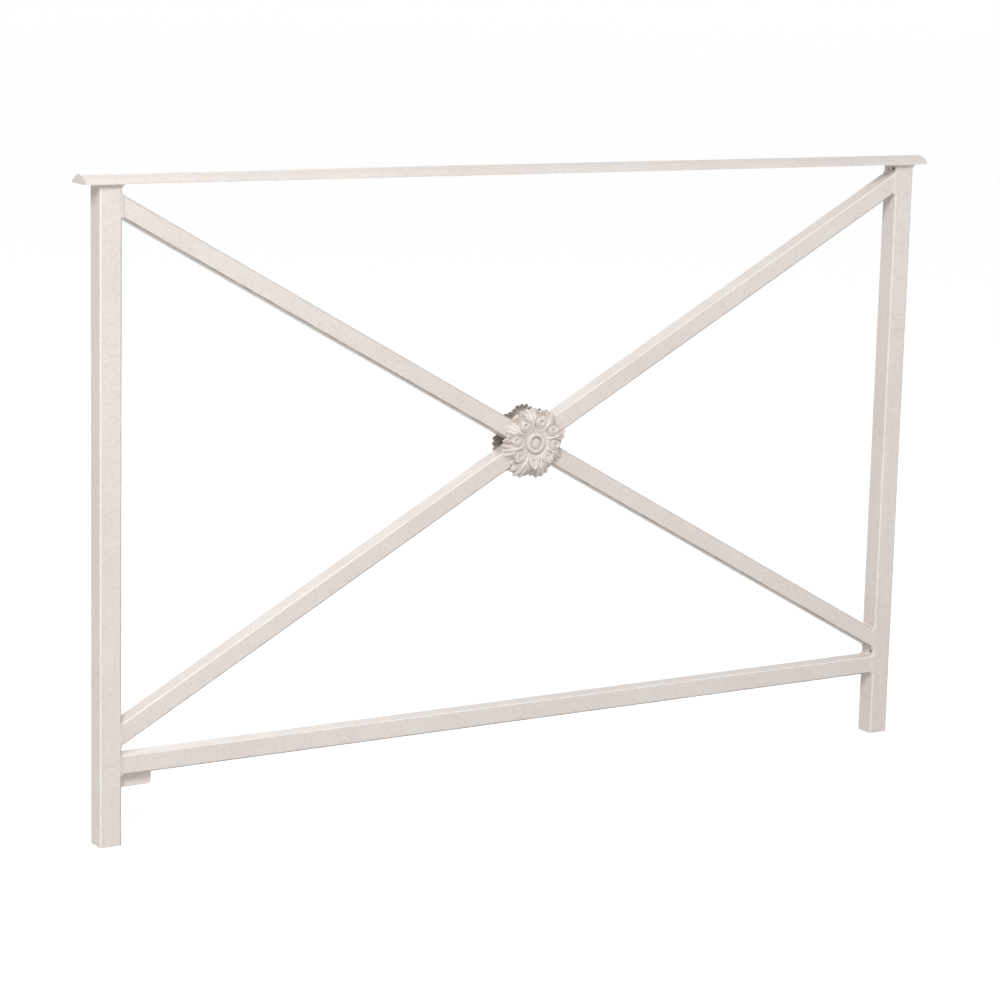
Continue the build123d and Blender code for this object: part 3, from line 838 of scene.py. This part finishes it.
class BARRIER_OT_plate(Operator):
    """Model the small bare plate under the bottom rail, with its raised rim"""
    bl_idname = "barrier.plate"
    bl_label = "Plate"

    rim, lift = 0.0035, 0.001       # width and height of the raised rim
    cut = 0.005                     # leg of the corner cut off beside the weld
    corner = 0.006                  # radius of the free lower corner
    edge_round = 0.00035

    def execute(self, context):
        low, high = corners_of("rail_plate")
        front = low.y + self.lift
        bpy.ops.object.select_all(action="DESELECT")
        middle = ((low.x + high.x) / 2, front, (low.z + high.z) / 2)
        bpy.ops.mesh.primitive_plane_add(size=1, rotation=(radians(90), 0, 0), location=middle)
        plate = bpy.context.object
        plate.scale = (high.x - low.x, high.z - low.z, 1)
        only(plate)
        bpy.ops.object.transform_apply(location=True, rotation=True, scale=True)
        tools = context.tool_settings
        # Cut the corner that would foul the weld, then round the free lower corner
        bpy.ops.object.mode_set(mode="EDIT")
        bpy.ops.mesh.select_all(action="SELECT")
        bpy.ops.mesh.bisect(plane_co=(low.x + self.cut, front, high.z), plane_no=(-1, 0, 1),
                            clear_outer=True)
        bpy.ops.mesh.select_all(action="DESELECT")
        tools.mesh_select_mode = (True, False, False)
        bpy.ops.object.mode_set(mode="OBJECT")
        for vertex in plate.data.vertices:
            vertex.select = (vertex.co - Vector((high.x, front, low.z))).length < 1e-5
        bpy.ops.object.mode_set(mode="EDIT")
        bpy.ops.mesh.bevel(offset=self.corner, segments=10, profile=0.5, affect="VERTICES")
        # The plate's thickness, then the raised rim
        tools.mesh_select_mode = (False, False, True)
        bpy.ops.mesh.select_all(action="SELECT")
        bpy.ops.mesh.extrude_region_move(
            TRANSFORM_OT_translate={"value": (0, high.y - front, 0)})
        bpy.ops.mesh.select_all(action="SELECT")
        bpy.ops.mesh.normals_make_consistent(inside=False)
        bpy.ops.mesh.select_all(action="DESELECT")
        bpy.ops.object.mode_set(mode="OBJECT")
        for face in plate.data.polygons:
            face.select = face.normal.y < -0.9
        bpy.ops.object.mode_set(mode="EDIT")
        bpy.ops.mesh.inset(thickness=self.rim, depth=0)
        bpy.ops.mesh.select_all(action="INVERT")
        bpy.ops.object.mode_set(mode="OBJECT")
        for face in plate.data.polygons:
            face.select = face.select and face.normal.y < -0.9
        bpy.ops.object.mode_set(mode="EDIT")
        bpy.ops.mesh.extrude_region_move(TRANSFORM_OT_translate={"value": (0, -self.lift, 0)})
        bpy.ops.object.mode_set(mode="OBJECT")
        round_off = plate.modifiers.new("Rounded edges", "BEVEL")
        round_off.width = self.edge_round
        round_off.segments = 3
        round_off.limit_method = "ANGLE"
        bpy.ops.object.modifier_apply(modifier=round_off.name)
        bpy.ops.object.shade_smooth_by_angle(angle=radians(35))
        finish_piece(plate, "bare_plate", bpy.data.materials["Painted handrail"],
                     "rail_plate")
        return {"FINISHED"}


class BARRIER_OT_stage(Operator):
    """Set the floor, the room light, the lamps and the camera"""
    bl_idname = "barrier.stage"
    bl_label = "Stage and camera"

    floor_lift = 0.66           # glow that takes the floor to white where it is seen
    aim = (0.73, 0, 0.55)       # what the lamps point at
    # The camera was solved from the photo's straight edges. Yaw, pitch and roll are in degrees.
    eye = (-1.84126, -4.00917, 1.35858)
    turned = (-32.2007, -10.6016, 1.4031)
    lens, sensor = 109.123, 36.0

    def execute(self, context):
        stage = context.scene.barrier_stage
        self.lay_floor(stage)
        self.light_room(context, stage)
        self.hang_lamps(stage)
        self.place_camera(context)
        context.scene.view_settings.view_transform = "Standard"
        return {"FINISHED"}

    def lay_floor(self, stage):
        bpy.ops.object.select_all(action="DESELECT")
        bpy.ops.mesh.primitive_plane_add(size=160, location=(0.7325, 20, 0))
        floor = bpy.context.object
        floor.name = "studio_floor"
        material = bpy.data.materials.new("Studio floor")
        material.use_nodes = True
        tree = material.node_tree
        shader = tree.nodes["Principled BSDF"]
        shader.inputs["Base Color"].default_value = (*stage.floor, 1)
        shader.inputs["Roughness"].default_value = 0.9
        shader.inputs["Emission Color"].default_value = (1, 1, 1, 1)
        lift = maths(tree, "MULTIPLY", seen_by_camera(tree), self.floor_lift)
        tree.links.new(lift, shader.inputs["Emission Strength"])
        floor.data.materials.append(material)
        only(floor)
        bpy.ops.object.transform_apply(location=True, rotation=True, scale=True)

    def light_room(self, context, stage):
        world = bpy.data.worlds.new("Studio room")
        context.scene.world = world
        world.use_nodes = True
        tree = world.node_tree
        back = tree.nodes["Background"]
        back.inputs["Color"].default_value = (1, 1, 1, 1)
        tree.links.new(remap(tree, seen_by_camera(tree), 0.0, 1.0, stage.sky, 1.0),
                       back.inputs["Strength"])

    def hang_lamps(self, stage):
        for name, place, size, power in (("key_lamp", (-1.9, -2.9, 3.5), 1.7, stage.key),
                                         ("fill_lamp", (3.9, -2.6, 1.0), 1.6, stage.fill),
                                         ("back_lamp", (1.6, 4.4, 2.3), 2.4, stage.back)):
            bpy.ops.object.select_all(action="DESELECT")
            bpy.ops.object.light_add(type="AREA", location=place)
            lamp = bpy.context.object
            lamp.name = name
            lamp.data.size = size
            lamp.data.energy = power
            ahead = Vector(self.aim) - Vector(place)
            lamp.rotation_euler = ahead.to_track_quat("-Z", "Y").to_euler()

    def place_camera(self, context):
        yaw, pitch, roll = (radians(angle) for angle in self.turned)
        ahead = Vector((-sin(yaw) * cos(pitch), cos(yaw) * cos(pitch), sin(pitch)))
        level = ahead.cross(Vector((0, 0, 1))).normalized()
        upright = level.cross(ahead)
        right = cos(roll) * level + sin(roll) * upright
        up = -sin(roll) * level + cos(roll) * upright
        bpy.ops.object.select_all(action="DESELECT")
        bpy.ops.object.camera_add(location=self.eye)
        camera = bpy.context.object
        camera.name = "photo_camera"
        turn = Matrix((right, up, -ahead)).transposed()
        camera.rotation_euler = turn.to_euler()
        camera.data.lens = self.lens
        camera.data.sensor_width = self.sensor
        camera.data.clip_end = 500
        context.scene.camera = camera


class BARRIER_PT_pieces(Panel):
    """Lists the barrier's pieces in the sidebar"""
    bl_idname = "BARRIER_PT_pieces"
    bl_label = "Street barrier"
    bl_space_type = "VIEW_3D"
    bl_region_type = "UI"
    bl_category = "Barrier"

    def draw(self, context):
        layout = self.layout
        scene = context.scene
        for settings in (scene.barrier_paint, scene.barrier_rosette, scene.barrier_welds,
                         scene.barrier_stage):
            box = layout.box()
            for key in settings.__annotations__:
                box.prop(settings, key)
        for step in STEPS:
            layout.operator(step.bl_idname)


SETTINGS = (PaintSettings, RosetteSettings, WeldSettings, StageSettings)
STEPS = (BARRIER_OT_finishes, BARRIER_OT_rosettes, BARRIER_OT_rivet, BARRIER_OT_welds,
         BARRIER_OT_plate, BARRIER_OT_stage)


def register():
    for cls in SETTINGS + STEPS + (BARRIER_PT_pieces,):
        bpy.utils.register_class(cls)
    bpy.types.Scene.barrier_paint = PointerProperty(type=PaintSettings)
    bpy.types.Scene.barrier_rosette = PointerProperty(type=RosetteSettings)
    bpy.types.Scene.barrier_welds = PointerProperty(type=WeldSettings)
    bpy.types.Scene.barrier_stage = PointerProperty(type=StageSettings)


def unregister():
    del bpy.types.Scene.barrier_stage
    del bpy.types.Scene.barrier_welds
    del bpy.types.Scene.barrier_rosette
    del bpy.types.Scene.barrier_paint
    for cls in reversed(SETTINGS + STEPS + (BARRIER_PT_pieces,)):
        bpy.utils.unregister_class(cls)


def main():
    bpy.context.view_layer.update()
    register()
    bpy.ops.barrier.finishes()
    bpy.ops.barrier.rosettes()
    bpy.ops.barrier.rivet()
    bpy.ops.barrier.welds()
    bpy.ops.barrier.plate()
    bpy.ops.barrier.stage()


if __name__ == "__main__":
    main()
